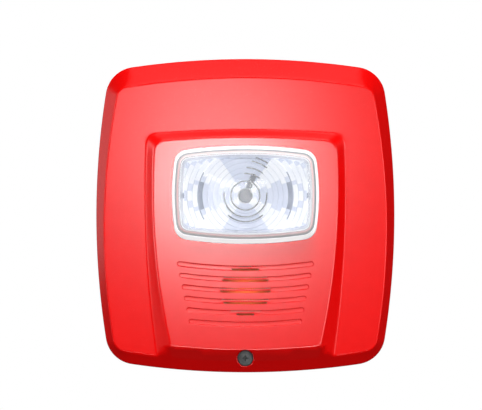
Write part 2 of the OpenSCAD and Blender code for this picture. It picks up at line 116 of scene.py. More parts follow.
lamp("front_fill", (0, -1.9, 0.03), 0.25, 18, glossy=False)
lamp("left_fill", (-0.9, -0.5, 0.2), 0.6, 1.5, glossy=False)
lamp("right_fill", (0.9, -0.5, 0.2), 0.6, 2.2, glossy=False)
lamp("overhead", (0, -0.7, 0.9), 0.6, 8, glossy=False)
lamp("highlight", (-0.015, -0.43, 0.017), 0.07, 0.27, diffuse=False)
lamp("left_strip", (-0.9, -0.3, 0.1), 0.5, 2.5, diffuse=False)
lamp("left_rim", (-0.9, 0.55, 0.15), 0.5, 0.7, diffuse=False)
lamp("low_strip", (0, -0.8, -0.45), 0.3, 2.2, diffuse=False)
lamp("right_strip", (0.5, -0.8, 0), 0.3, 2, diffuse=False)
lamp("top_strip", (0, -0.2, 0.9), 0.5, 0.9, diffuse=False)
lamp("rear_left", (-0.4, 1.6, 0.6), 0.8, 8)
lamp("rear_right", (0.4, 1.6, 0.6), 0.8, 8)


# %% One helper for every shader node
def add(owner, kind, settings=None, links=None, **options):
    """Adds a shader node. Settings fill its sockets, links feed them, options set its menus."""
    made = owner.node_tree.nodes.new("ShaderNode" + kind)
    for name, value in options.items():
        setattr(made, name, value)
    for name, value in (settings or {}).items():
        made.inputs[name].default_value = value
    for name, (source, output) in (links or {}).items():
        owner.node_tree.links.new(source.outputs[output], made.inputs[name])
    return made


# %% World
world = bpy.data.worlds.new("studio")
bpy.context.scene.world = world
world.use_nodes = True
world.node_tree.nodes.clear()
ray = add(world, "LightPath")
dim = add(world, "Background", {"Color": (1, 1, 1, 1), "Strength": 0.03})
bright = add(world, "Background", {"Color": (1, 1, 1, 1), "Strength": 1.0})
either = add(world, "MixShader", None, {0: (ray, "Is Camera Ray"), 1: (dim, 0), 2: (bright, 0)})
add(world, "OutputWorld", None, {"Surface": (either, 0)})
print("World made")

# %% [markdown]
# ## Finishes
#
# Each finish starts from what the real surface is and how it was made. One recipe covers them
# all: a slow drift between two nearly equal colours, patchy gloss, fine grain as bump, and
# edges that look slightly rounded, which no mould or press can leave truly sharp. What differs
# from one finish to the next is the size of the grain, the gloss and how metallic it is.


# %% The recipe for a finish
def linear(hex_colour):
    """Turns an sRGB hex colour into the linear values that a shader works in."""
    parts = [int(hex_colour[i:i + 2], 16) / 255 for i in (1, 3, 5)]
    return [c / 12.92 if c <= 0.04045 else ((c + 0.055) / 1.055) ** 2.4 for c in parts] + [1]


def finish(name, light, dark, roughness, grain, bump, edge=0.15, drift=6.0, stretch=(1, 1, 1),
           **sockets):
    """A finished surface. Grain, drift, bump and edge are sizes on the real thing, in mm."""
    mat = bpy.data.materials.new(name)
    mat.use_nodes = True
    mat.node_tree.nodes.clear()
    where = add(mat, "TexCoord")
    along = add(mat, "Mapping", {"Scale": stretch}, {"Vector": (where, "Object")})
    slow = add(mat, "TexNoise", {"Scale": 1 / (drift * MM), "Detail": 2.0},
               {"Vector": (along, "Vector")}, label="drift")
    fine = add(mat, "TexNoise", {"Scale": 1 / (grain * MM), "Detail": 3.0},
               {"Vector": (along, "Vector")}, label="grain")
    ramp = add(mat, "ValToRGB", None, {"Fac": (slow, "Fac")})
    for stop, place, colour in zip(ramp.color_ramp.elements, (0.3, 0.7), (dark, light)):
        stop.position = place
        stop.color = linear(colour)
    gloss = add(mat, "MapRange", {"To Min": 0.85 * roughness, "To Max": 1.15 * roughness},
                {"Value": (fine, "Fac")})
    worn = add(mat, "Bevel", {"Radius": edge * MM}, samples=4)
    relief = add(mat, "Bump", {"Strength": 1.0, "Distance": bump * MM},
                 {"Height": (fine, "Fac"), "Normal": (worn, "Normal")})
    shader = add(mat, "BsdfPrincipled", sockets, {
        "Base Color": (ramp, "Color"), "Roughness": (gloss, "Result"), "Normal": (relief, "Normal")})
    add(mat, "OutputMaterial", None, {"Surface": (shader, 0)})
    return mat


# %% Plastics and rubber
ABS_IOR = 1.53
PC_IOR = 1.585
finishes = {
    # ABS and polycarbonate blend, moulded in a fine spark-eroded tool: saturated, satin
    "red_plastic": finish("red_pc_abs", "#F60606", "#F20505", 0.26, 0.35, 0.002, IOR=1.46),
    # The raised panel: the same resin from a polished insert in the tool, so it is glossier
    "red_panel": finish("red_pc_abs_polished", "#F60808", "#F20707", 0.23, 0.35, 0.001, IOR=1.72),
    # The same resin in a coarser tool, as on a part that faces the wall
    "base_plastic": finish("red_pc_abs_base", "#E01415", "#D61213", 0.46, 0.5, 0.006, IOR=ABS_IOR),
    # Glass-filled black resin: the fibres leave a dull, slightly mottled skin
    "black_plastic": finish("black_filled_abs", "#232426", "#1A1B1D", 0.5, 0.4, 0.008, IOR=ABS_IOR),
    # Heat-resistant ivory resin of the switches and the tube's seat
    "white_plastic": finish("white_pbt", "#E9E8E2", "#DFDDD5", 0.42, 0.4, 0.005, IOR=ABS_IOR),
    # Foam rubber: open cells, no gloss
    "black_rubber": finish("epdm_foam", "#1C1C1C", "#121212", 0.85, 0.25, 0.03, IOR=1.5),
    # PVC over stranded wire
    "lead_insulation": finish("pvc_insulation", "#C02020", "#B01818", 0.45, 0.5, 0.004, IOR=1.53),
    # Silicone sleeve, matt and a little dusty
    "grey_sleeve": finish("silicone_sleeve", "#7E8084", "#6F7175", 0.55, 0.3, 0.01, IOR=1.41),
    # Shrunk PVC film over the capacitor's can: smooth and glossy
    "capacitor_sleeve": finish("pvc_film", "#1B2A4A", "#16223E", 0.28, 1.2, 0.004, IOR=1.53),
}
print("Plastics:", sorted(finishes))

# %% Metals
finishes.update({
    # Bright zinc on rolled steel, with the cloudy bloom of passivation
    "zinc_screw": finish("zinc_plate", "#C9CBD0", "#AEB3BD", 0.3, 0.3, 0.003, Metallic=1.0),
    # Black oxide on steel, oiled: dark, with a broad dull highlight
    "dark_screw": finish("black_oxide", "#6C6E6E", "#535758", 0.5, 0.3, 0.01, drift=1.5, Metallic=0.2),
    # Rolled spring strip: streaks run the way that it was rolled
    "phosphor_bronze": finish("phosphor_bronze", "#C98F5A", "#B27A48", 0.32, 0.15, 0.003,
                              stretch=(1, 1, 0.1), Metallic=1.0),
    # Thin brass sheet, lightly tarnished. Its emission is a painted glow, pooled below, for light
    # falling in through the slits
    "brass": finish("tarnished_brass_painted_glow", "#C4602E", "#A85026", 0.42, 0.2, 0.004, Metallic=0.3,
                    **{"Emission Color": linear("#F06A34")}),
    # Nickel plate
    "nickel": finish("nickel_plate", "#8E8E92", "#6C6D71", 0.5, 0.3, 0.01, drift=1.2, Metallic=0.4),
    # Drawn aluminium can
    "aluminium_can": finish("drawn_aluminium", "#D4D6D9", "#C2C5CA", 0.35, 0.2, 0.003, Metallic=1.0),
    # Metallised plastic, coloured near white with little metal: a painted reflection of the bright
    # room.
    # A little emission, a painted glow, stands in for the light that a real bowl gathers
    "bright_reflector": finish("metallised_painted_reflection", "#FFFFFF", "#F3F6FD", 0.3, 1.5, 0.004,
                               edge=0.1, Metallic=0.1,
                               **{"Emission Color": (1, 1, 1, 1), "Emission Strength": 0.25}),
})
print("Metals and plastics:", len(finishes))

# %% Electrical materials
finishes.update({
    # Glass-epoxy board under green solder mask
    "board_laminate": finish("solder_mask", "#17603A", "#114A2C", 0.3, 0.8, 0.01, IOR=1.55),
    # Enamelled copper wire
    "copper_winding": finish("enamelled_copper", "#C4682F", "#A85222", 0.3, 0.2, 0.004, Metallic=0.9),
    # Sintered ferrite: dark grey, granular
    "ferrite": finish("ferrite", "#3C3D40", "#303134", 0.6, 0.15, 0.02, IOR=1.8),
    # Transfer-moulded epoxy
    "chip_epoxy": finish("chip_epoxy", "#262628", "#1E1E20", 0.55, 0.12, 0.006, IOR=1.55),
    # Alumina with a dark glaze on the resistive film
    "resistor_body": finish("resistor_glaze", "#2B2B30", "#222227", 0.35, 0.3, 0.004, IOR=1.6),
    # Fired ceramic
    "piezo_white": finish("piezo_ceramic", "#E6E1D2", "#DCD6C4", 0.5, 0.2, 0.004, IOR=1.7),
})
print("Finishes so far:", len(finishes))

# %% [markdown]
# ## Clear polycarbonate
#
# A clear lens is hard to light: real refraction turns the lamps behind it into noise. The walls
# here are thin, so light passes straight through, and what the eye needs is the gloss and the
# way that a wall seen edge-on gathers light and turns white. So the surface is nearly clear
# where it faces the eye and closes as it turns away, and the rim and the side walls, which are
# solid prisms of plastic, are almost white.


# %% Clear finishes
def clear(name, colour, facing, turned, roughness, bump, glow=0.0):
    """Clear plastic or glass: how solid it looks face on, and how solid where it turns away."""
    mat = finish(name, colour, colour, roughness, 3.0, bump, edge=0.05, IOR=PC_IOR,
                 **{"Emission Color": linear(colour), "Emission Strength": glow})
    shader = next(n for n in mat.node_tree.nodes if n.type == "BSDF_PRINCIPLED")
    turn = add(mat, "LayerWeight", {"Blend": 0.4})
    solid = add(mat, "MapRange", {"To Min": facing, "To Max": turned}, {"Value": (turn, "Facing")})
    mat.node_tree.links.new(solid.outputs["Result"], shader.inputs["Alpha"])
    return mat


finishes["clear_lens"] = clear("clear_polycarbonate", "#F2F6FF", 0.10, 0.7, 0.06, 0.001)
finishes["tube_glass"] = clear("borosilicate_glass", "#DDE2E8", 0.25, 0.9, 0.04, 0.001)
# The rim and the side walls pipe light to their edges; a little painted glow stands in for that light
edge_lit = clear("edge_lit_polycarbonate", "#FDFEFF", 0.95, 0.98, 0.12, 0.002, 0.15)
# A painted shadow: a grey line where the lens's step lies in shade
shadow_line = clear("lens_step_shadow", "#8E9397", 0.9, 0.95, 0.3, 0.002)
# A painted shade: the clear prisms are coloured dark grey for the dark lines that they show
painted_prism_shade = clear("painted_prism_shade", "#4C5157", 0.8, 0.9, 0.2, 0.002)
# Painted reflection and shade: a paler copy of the metallised finish, with a painted glow, for facets
# that mirror the darker parts of the room, and a grey copy that paints shade on the steps between
# facets
painted_pale_reflection = finish("metallised_lacquer_pale", "#E4E8F4", "#D8DEEE", 0.3, 1.5, 0.004, Metallic=0.1,
                     **{"Emission Color": linear("#DCE2F2"), "Emission Strength": 0.2})
painted_mirror_shade = finish("metallised_lacquer_shade", "#B2B8C6", "#9AA1B0", 0.3, 1.5, 0.004, Metallic=0.1)
print("Clear finishes made")

# %% Give every working part its finish
slot_of = {part["node"]: part["material_slot"] for part in frame["record"]["subparts"]}
for name, obj in frame["nodes"].items():
    obj.material_slots[0].material = finishes[slot_of[name]]
print("Dressed", len(slot_of), "nodes")


# %% [markdown]
# ## Light on the horn's disc
#
# Light that enters the slits falls off towards the edge of the opening, so only the middle of
# the brass disc shows amber. The lamps of this scene leave the disc too dark for that, so a glow
# of the disc's own stands in for it, strongest in the middle and gone before the edge.

# %% Light pooled on the disc
POOL_R, POOL_GLOW = 9.5, 1.1


def pooled(mat, obj, centre, radius, strength):
    """Light that pools round a centre and fades out at a radius, both in mm."""
    shader = next(n for n in mat.node_tree.nodes if n.type == "BSDF_PRINCIPLED")
    scale = 1 / (radius * MM)
    local = obj.matrix_world.inverted() @ (Vector(centre) * MM)
    where = add(mat, "TexCoord")
    near = add(mat, "Mapping", {"Scale": (scale,) * 3, "Location": [-scale * c for c in local]},
               {"Vector": (where, "Object")})
    fall = add(mat, "TexGradient", None, {"Vector": (near, "Vector")}, gradient_type="SPHERICAL")
    glow = add(mat, "MapRange", {"To Max": strength}, {"Value": (fall, "Fac")})
    mat.node_tree.links.new(glow.outputs["Result"], shader.inputs["Emission Strength"])


_, disc_d, disc_z = node_box("piezo_disc")
horn_z = (disc_z[0] + disc_z[1]) / 2
pooled(finishes["brass"], frame["nodes"]["piezo_disc"], (0, -disc_d[1], horn_z), POOL_R, POOL_GLOW)
print("Horn disc at height", round(horn_z, 2))

# %% [markdown]
# ## Outlines
#
# Every outline on the front is the same kind of shape: two bowed sides, a bowed top and bottom,
# and rounded corners. One class holds it. It gives points round the outline, drawn in by any
# amount, and the distance of any point from the edge. Distances make it possible to write the
# whole front as one height above the wall, so bevels and fillets need no booleans.


# %% A bowed outline
def crossing(c1, r1, c2, r2, way):
    """Where two circles cross, on the left (1) or the right (-1) of the line between them."""
    v = c2 - c1
    d = math.hypot(*v)
    a = (r1 * r1 - r2 * r2 + d * d) / (2 * d)
    return c1 + v * a / d + way * math.sqrt(r1 * r1 - a * a) * np.array([-v[1], v[0]]) / d


def turn(centre, point):
    return math.atan2(point[1] - centre[1], point[0] - centre[0])


class Outline:
    """Four large arcs and two corner radii, in mm, mirrored left to right."""

    def __init__(self, half, top, bottom, side_r, widest, top_r, bottom_r, upper_r, lower_r):
        self.side, self.side_r = np.array([half - side_r, widest]), side_r
        self.top, self.top_r, self.upper_r = np.array([0, top - top_r]), top_r, upper_r
        self.bottom, self.bottom_r, self.lower_r = np.array([0, bottom + bottom_r]), bottom_r, lower_r

    def corners(self):
        return ((self.bottom, self.bottom_r, self.lower_r, -1), (self.top, self.top_r, self.upper_r, 1))

    def inside(self, p):
        """How far each point lies inside the outline. Outside it is negative."""
        q = np.column_stack([np.abs(p[:, 0]), p[:, 1]])
        near = self.side_r - np.hypot(*(q - self.side).T)
        for centre, radius, _, _ in self.corners():
            near = np.minimum(near, radius - np.hypot(*(q - centre).T))
        for centre, radius, corner_r, way in self.corners():
            hub = crossing(self.side, self.side_r - corner_r, centre, radius - corner_r, way)
            v, a, b = q - hub, hub - self.side, hub - centre
            past_side = way * (a[0] * v[:, 1] - a[1] * v[:, 0]) >= 0
            past_cap = way * (v[:, 0] * b[1] - v[:, 1] * b[0]) >= 0
            near = np.where(past_side & past_cap, corner_r - np.hypot(*v.T), near)
        return near

    def arcs(self, inset):
        low_r, up_r = max(self.lower_r - inset, 0.5), max(self.upper_r - inset, 0.5)
        side_r, bottom_r, top_r = self.side_r - inset, self.bottom_r - inset, self.top_r - inset
        low = crossing(self.side, side_r - low_r, self.bottom, bottom_r - low_r, -1)
        up = crossing(self.side, side_r - up_r, self.top, top_r - up_r, 1)
        return ((self.bottom, bottom_r, -math.pi / 2, turn(self.bottom, low)),
                (low, low_r, turn(self.bottom, low), turn(self.side, low)),
                (self.side, side_r, turn(self.side, low), turn(self.side, up)),
                (up, up_r, turn(self.side, up), turn(self.top, up)),
                (self.top, top_r, turn(self.top, up), math.pi / 2))

    def ring(self, inset=0.0, step=1.2, like=None):
        """Points round the outline drawn in by inset, as many as the outline that it is like has."""
        half = [[[0, self.bottom[1] - self.bottom_r + inset]]]
        for (centre, r, a, b), (_, r0, a0, b0) in zip(self.arcs(inset), (like or self).arcs(0)):
            t = np.linspace(a, b, max(4, round(abs(b0 - a0) * r0 / step)) + 1)[1:]
            half.append(centre + r * np.column_stack([np.cos(t), np.sin(t)]))
        half = np.vstack(half)
        return np.vstack([half, half[-2:0:-1] * (-1, 1)])


# %% The outlines of the front
half_w, half_h = case_x[1], case_z[1]
face_low = -half_h + 4.65
BODY = Outline(half_w, half_h, -half_h, 335, 0, 335, 335, 13, 13)
FACE = Outline(half_w - 3.4, half_h - 7.85, face_low, 285, -5, 310, 300, 5.5, 5.5)
BELOW = -1.5 * half_h
FOOT = Outline(42.35, 36.3, BELOW, 490, 10, 478, 300, 4.8, 0.6)
CREST = Outline(39.3, 33.5, BELOW, 300, 11, 400, 200, 5, 0.6)
PANEL_END = Outline(39.3, 33.5, -half_h + 10.15, 300, 11, 400, 200, 5, 0.6)
print("Points round the case:", len(BODY.ring()))

# %% [markdown]
# ## Building helpers
#
# Every piece below is a loft: a stack of rings joined by quads. A turned part is a loft of
# circles, and a wire is a loft along its path. `make` joins lofts into one object, marks the
# sharp edges, and ties it to the body that it moves with.


# %% Lofts
def at(ring, depth):
    """A flat ring at one depth, or at a depth for each point."""
    return np.column_stack([ring[:, 0], np.broadcast_to(depth, len(ring)), ring[:, 1]])


def circle(x, z, r, n=48):
    t = np.linspace(0, 2 * math.pi, n, endpoint=False)
    return np.column_stack([x + r * np.cos(t), z + r * np.sin(t)])


def loft(rings, closed=False):
    """Joins rings with quads: closed like a tyre, or capped at both ends."""
    n, count = len(rings[0]), len(rings)
    faces = []
    for r in range(count if closed else count - 1):
        a, b = r * n, (r + 1) % count * n
        faces += [(a + i, a + (i + 1) % n, b + (i + 1) % n, b + i) for i in range(n)]
    if not closed:
        faces += [tuple(range(n)), tuple(range((count - 1) * n, count * n))]
    return np.vstack(rings), faces


def lathe(x, z, profile, closed=False, n=48):
    """A turned part, from (radius, depth) pairs."""
    return loft([at(circle(x, z, r, n), d) for r, d in profile], closed)


def sweep(path, radius, n=12):
    """A round wire along a path of (x, depth, z) points."""
    path = np.asarray(path, float)
    ahead = np.gradient(path, axis=0)
    ahead /= np.linalg.norm(ahead, axis=1)[:, None]
    side = np.cross(ahead[0], (0.3, 0.5, 0.8))
    rings = []
    for point, forward in zip(path, ahead):
        side = side - forward * side.dot(forward)
        side /= np.linalg.norm(side)
        up = np.cross(forward, side)
        t = np.linspace(0, 2 * math.pi, n, endpoint=False)[:, None]
        rings.append(point + radius * (np.cos(t) * side + np.sin(t) * up))
    return loft(rings)


# %% One function that makes a piece
def make(name, parts, body, slot, stands_for=(), sharp=35, materials=None, pick=None):
    """Joins parts into one piece that rides on a body. pick gives each face's material."""
    points, faces, start = [], [], 0
    for part_points, part_faces in parts:
        points.append(part_points)
        faces += [tuple(i + start for i in face) for face in part_faces]
        start += len(part_points)
    points = np.vstack(points) * (MM, -MM, MM)
    mesh = bpy.data.meshes.new(name)
    mesh.from_pydata(points.tolist(), [], faces)
    work = bmesh.new()
    work.from_mesh(mesh)
    bmesh.ops.recalc_face_normals(work, faces=work.faces)
    work.to_mesh(mesh)
    work.free()
    mesh.shade_smooth()
    mesh.set_sharp_from_angle(angle=math.radians(sharp))
    for material in materials or [finishes[slot]]:
        mesh.materials.append(material)
    if pick:
        centres = np.array([face.center for face in mesh.polygons]) / (MM, -MM, MM)
        mesh.polygons.foreach_set("material_index", pick(centres).astype(np.int32))
    obj = bpy.data.objects.new(name, mesh)
    bpy.context.scene.collection.objects.link(obj)
    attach(obj, body)
    if stands_for:
        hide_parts(*stands_for)
    print(name, "has", len(faces), "faces")
    return obj


# %% [markdown]
# ## The front cover
#
# The cover is one moulded shell: a bevelled body with a raised panel, a window for the lens and
# six sagging grooves with sound slits. The front is written as a depth for each point, from
# distances to the outlines. Smooth minimum and maximum round the ridges and the creases by the
# small radius that a mould gives, and these radii are what catch the pale lines of light.

# %% The depth of the front
WALL = 2.2
FACE_D, FACE_TILT = 26.1, 0.0275
PANEL_D, PANEL_TILT = 29.9, 0.008
ROUND = 0.62
EDGE_R = 1.1
SAG_R = 205
GROOVE_H, GROOVE_PITCH, GROOVE_DEEP, GROOVE_WALL = 2.34, 4.74, 0.5, 0.5
OUTLET_R = 10.7
grooves = [(horn_z + (2 - i) * GROOVE_PITCH, 29.1 - i) for i in range(6)]


def smooth_min(a, b, k):
    h = np.clip(0.5 + 0.5 * (b - a) / k, 0, 1)
    return b + (a - b) * h - k * h * (1 - h)


def smooth_max(a, b, k):
    return -smooth_min(-a, -b, k)


def from_groove(p, z, half, height):
    """Distance from the sagging centre line of a groove with round ends."""
    centre = np.array([0, z + SAG_R])
    limit = math.asin((half - height / 2) / SAG_R)
    angle = np.clip(np.arctan2(p[:, 0], centre[1] - p[:, 1]), -limit, limit)
    return np.hypot(*(p - centre - SAG_R * np.column_stack([np.sin(angle), -np.cos(angle)])).T)


def front(p):
    """Depth of the cover's front at each point (x, z)."""
    inside = np.maximum(BODY.inside(p), 0)
    low = FACE_D + FACE_TILT * p[:, 1]
    panel = PANEL_D + PANEL_TILT * p[:, 1]
    slope = (low - EDGE_D) / np.maximum(inside - FACE.inside(p), 0.5)
    lean = np.sqrt(1 + slope * slope)
    round_edge = EDGE_D + slope * EDGE_R - EDGE_R * lean
    round_edge += np.sqrt(np.maximum(EDGE_R ** 2 - (EDGE_R - np.minimum(inside, EDGE_R)) ** 2, 0))
    bevel = np.where(inside < EDGE_R - EDGE_R * slope / lean, round_edge, EDGE_D + slope * inside)
    foot, crest = FOOT.inside(p), CREST.inside(p)
    rise = low + (panel - low) * foot / np.maximum(foot - crest, 0.5)
    depth = smooth_min(bevel, smooth_max(low, smooth_min(rise, panel, ROUND), ROUND), ROUND)
    for z, half in grooves:
        into = np.clip((GROOVE_H / 2 - from_groove(p, z, half, GROOVE_H)) / GROOVE_WALL, 0, 1)
        depth = depth - GROOVE_DEEP * into * into * (3 - 2 * into)
    return depth


print("Depth at the middle:", front(np.array([[0.0, 50.0], [0.0, 0.0]])).round(2))


# %% Slits, window and screw recess
def sagging(z, half, height, step=1.0):
    """Points round a groove or a slit that sags with radius SAG_R."""
    centre, r = np.array([0, z + SAG_R]), height / 2
    a = math.asin((half - r) / SAG_R)
    n = max(4, round(2 * half / step))
    down = np.linspace(-a, a, n)
    under = centre + (SAG_R + r) * np.column_stack([np.sin(down), -np.cos(down)])
    over = centre + (SAG_R - r) * np.column_stack([np.sin(down), -np.cos(down)])[::-1]
    ends = []
    for lean, start in ((a, -math.pi / 2), (-a, math.pi / 2)):
        hub = centre + SAG_R * np.array([math.sin(lean), -math.cos(lean)])
        t = np.linspace(start + lean, start + lean + math.pi, 8)[1:-1]
        ends.append(hub + r * np.column_stack([np.cos(t), np.sin(t)]))
    return np.vstack([under, ends[0], over, ends[1]])


def chord(z):
    return math.sqrt(max(OUTLET_R ** 2 - (z - horn_z) ** 2, 0))


SLIT_H, SLIT_DROP, VENT_H, VENT_RISE = 0.8, 0.55, 0.3, 0.84
slits = []
for z, _ in grooves:
    for middle, height in ((z - SLIT_DROP, SLIT_H), (z + VENT_RISE, VENT_H)):
        if chord(middle) > 2:
            slits.append((middle, chord(middle), height))
lens_x, lens_d, lens_z = node_box("lens")
FLANGE = 1.6
rim_top, rim_bottom, rim_half = lens_z[1] - FLANGE, lens_z[0] + FLANGE, lens_x[1] - FLANGE
lens_mid = (rim_top + rim_bottom) / 2
RIM = Outline(rim_half, rim_top, rim_bottom, 104, lens_mid, 183, 172, 6, 6)
DOME = Outline(rim_half - 1.65, rim_top - 1.95, rim_bottom + 2.55, 103, lens_mid, 180, 170, 4.8, 4.8)
WINDOW_GAP = 0.15
screw_x, screw_d, screw_zs = node_box("captive_screw")
screw_z = (screw_zs[0] + screw_zs[1]) / 2
HEAD_R, SHANK_R = screw_x[1], 1.6
RECESS_R = HEAD_R + 0.5
print(len(slits), "slits, lens middle at", round(lens_mid, 2), "screw at", round(screw_z, 2))


# %% Triangles between the edges
SAMPLES = (0, 0.25, 0.5, 0.75, 1)


def skin(loops, lines, dots, keep, within):
    """Triangles between closed loops. keep tests the feature lines, within the triangle middles."""
    points, edges, start, spans = list(loops), [], 0, []
    for loop in loops:
        n = len(loop)
        edges += [(start + i, start + (i + 1) % n) for i in range(n)]
        spans.append((start, start + n))
        start += n
    for line in lines:
        after = np.roll(line, -1, axis=0)
        free = np.all([keep(line + share * (after - line)) for share in SAMPLES], axis=0)
        used = free | np.roll(free, 1)
        index = start + np.cumsum(used) - 1
        edges += list(zip(index[free], np.roll(index, -1)[free]))
        points.append(line[used])
        start += int(used.sum())
    points = np.vstack(points + [dots])
    edges = [(int(a), int(b)) for a, b in edges]
    flat, _, faces, origin, _, _ = delaunay_2d_cdt([Vector(p) for p in points], edges, [], 0, 1e-6)
    new_index = {old: new for new, olds in enumerate(origin) for old in olds}
    flat, faces = np.array(flat), np.array(faces)
    faces = faces[within(flat[faces].mean(axis=1))]
    return flat, faces, [[new_index[i] for i in range(a, b)] for a, b in spans]


def solid_here(inset, gap=0.0):
    """A test for points in the cover's wall, seen from the front, and a gap away from its holes."""
    def test(p):
        ok = BODY.inside(p) > inset
        ok &= RIM.inside(p) < -WINDOW_GAP - gap
        ok &= np.hypot(p[:, 0], p[:, 1] - screw_z) > RECESS_R + gap
        for z, half, height in slits:
            ok &= from_groove(p, z, half, height) > height / 2 + gap
        return ok
    return test


def grid(spacing):
    xs = np.arange(-half_w, half_w, spacing)
    zs = np.arange(-half_h, half_h, spacing)
    return np.column_stack([axis.ravel() for axis in np.meshgrid(xs, zs)])


# %% The cover's outer and inner skins
holes = [RIM.ring(-WINDOW_GAP, 1.0), circle(0, screw_z, RECESS_R, 40)]
holes += [sagging(*slit) for slit in slits]
edge_turn = np.radians([8, 16, 24, 32, 40, 48])
feature_rings = [BODY.ring(EDGE_R * (1 - math.cos(a))) for a in edge_turn]
for outline in (FACE, FOOT, CREST, PANEL_END):
    feature_rings += [outline.ring(t, 1.4) for t in (-0.75, -0.5, -0.25, 0, 0.25, 0.5, 0.75)]
for z, half in grooves:
    for grow in (0.05, 0, -0.12, -0.24, -0.36, -0.5):
        feature_rings.append(sagging(z, half + grow, GROOVE_H + 2 * grow, 1.4))
plain = grid(2.4)
calm = np.all([np.abs(o.inside(plain)) > 1.4 for o in (FACE, FOOT, CREST, PANEL_END)], axis=0)
calm &= np.all([from_groove(plain, z, half, GROOVE_H) > 1.6 for z, half in grooves], axis=0)
plain = plain[calm & solid_here(0.9, 0.5)(plain)]
outer, outer_faces, outer_loops = skin([BODY.ring(0)] + holes, feature_rings, plain,
                                       solid_here(0.002, 0.04), solid_here(-1))

inner_grid = grid(6)
inner_grid = inner_grid[solid_here(WALL + 1, 1)(inner_grid)]
inner_rings = [outline.ring(1.0, 5) for outline in (FACE, FOOT, CREST)]
inner, inner_faces, inner_loops = skin([BODY.ring(WALL)] + holes, inner_rings, inner_grid,
                                       solid_here(WALL + 0.1, 0.3), solid_here(WALL - 1))
print("Outer skin", len(outer_faces), "inner skin", len(inner_faces))


# %% Join the skins into a shell
def shell():
    """Front skin, side wall, rear rim and inner skin as one closed solid."""
    rim_d = case_d[0]
    top = at(outer, front(outer))
    under = at(inner, np.minimum(front(inner) - WALL, PANEL_D - WALL))
    points = [top, under]
    faces = [tuple(f) for f in outer_faces] + [tuple(f[::-1] + len(top)) for f in inner_faces]
    shift = len(top)
    for a, b in zip(outer_loops[1:], inner_loops[1:]):
        n = len(a)
        faces += [(a[i], a[(i + 1) % n], b[(i + 1) % n] + shift, b[i] + shift) for i in range(n)]
    rows = []
    start = len(top) + len(under)
    for inset, lift in ((0, 0.5), (0.06, 0.2), (0.25, 0.03), (WALL - 0.2, 0), (WALL, 0.2)):
        ring = BODY.ring(inset)
        depth = rim_d + lift + np.maximum(ring[:, 1] - (half_h - 1.8), 0) * (inset < 1)
        points.append(at(ring, depth))
        rows.append(list(range(start, start + len(ring))))
        start += len(ring)
    rows = [outer_loops[0]] + rows + [[i + shift for i in inner_loops[0]]]
    for a, b in zip(rows, rows[1:]):
        n = len(a)
        faces += [(a[i], a[(i + 1) % n], b[(i + 1) % n], b[i]) for i in range(n)]
    return np.vstack(points), faces


SEAT_D, BORE_R, BOSS_R, BOSS_BACK = 21.85, 1.75, 5, 13.5
POST_X, POST_Z, PILOT_R, POST_R, POST_BACK, POST_ROOT = 52, 30, 1.25, 3, 14.2, 24
boss = lathe(0, screw_z, [(BORE_R, BOSS_BACK), (BOSS_R - 0.2, BOSS_BACK), (BOSS_R, BOSS_BACK + 0.3),
                          (BOSS_R, 19), (RECESS_R + 0.1, 20.2), (RECESS_R + 0.1, SEAT_D),
                          (BORE_R, SEAT_D)], closed=True)
post = [(PILOT_R, POST_BACK), (POST_R - 0.1, POST_BACK), (POST_R, POST_BACK + 0.3),
        (POST_R + 0.2, POST_ROOT), (PILOT_R, POST_ROOT)]
posts = [lathe(x, z, post, True, 32) for x in (-POST_X, POST_X) for z in (-POST_Z, POST_Z)]


def raised(centres):
    """1 for the faces of the raised panel's skin, 0 for the rest of the cover."""
    return (CREST.inside(centres[:, [0, 2]]) > -0.4) & (centres[:, 1] > FACE_D - 1.5)


cover = make("cover_shell", [shell(), boss] + posts, "head", "red_plastic", ["front_cover"], 30,
             [finishes["red_plastic"], finishes["red_panel"]], raised)


# %% Exact normals for the front skin
def smooth_front(obj, count, kept):
    """Gives the first faces the true normals of the front, apart from the kept points."""
    mesh, e = obj.data, 0.004
    dx = (front(outer + (e, 0)) - front(outer - (e, 0))) / (2 * e)
    dz = (front(outer + (0, e)) - front(outer - (0, e))) / (2 * e)
    true = np.column_stack([-dx, -np.ones(len(outer)), -dz])
    true /= np.linalg.norm(true, axis=1)[:, None]
    corner_vertex = np.zeros(len(mesh.loops), np.int32)
    mesh.loops.foreach_get("vertex_index", corner_vertex)
    normals = np.zeros((len(mesh.loops), 3))
    for polygon in mesh.polygons[:count]:
        for corner in polygon.loop_indices:
            if corner_vertex[corner] not in kept:
                normals[corner] = true[corner_vertex[corner]]
    mesh.normals_split_custom_set(normals.tolist())


smooth_front(cover, len(outer_faces), set(outer_loops[0]))
print("Front normals set")

# %% [markdown]
# ## The lens
#
# The lens is one moulding of clear polycarbonate: a flange that the cover traps, a rim, a step
# and a domed window that bulges towards the eye. It is lofted as one closed skin, from the
# middle of the inner face, round the flange, and back to the middle of the outer face. The
# side walls are seen edge-on and gather light, so they get the whiter finish.

# %% The lens skin
LENS_WALL = 1.8
BULGE = 0.95
OUTER_EDGE, INNER_EDGE = 2.5, 3.4
SHARES = (0.02, 0.15, 0.3, 0.45, 0.6, 0.75, 0.9)
lens_back, lens_front = lens_d


def window(inset, front_d, share):
    """A ring of the bulging window, share of the way from its middle to its edge."""
    ring = (DOME.ring(inset, like=RIM) - (0, lens_mid)) * share + (0, lens_mid)
    return at(ring, front_d - BULGE * share * share)


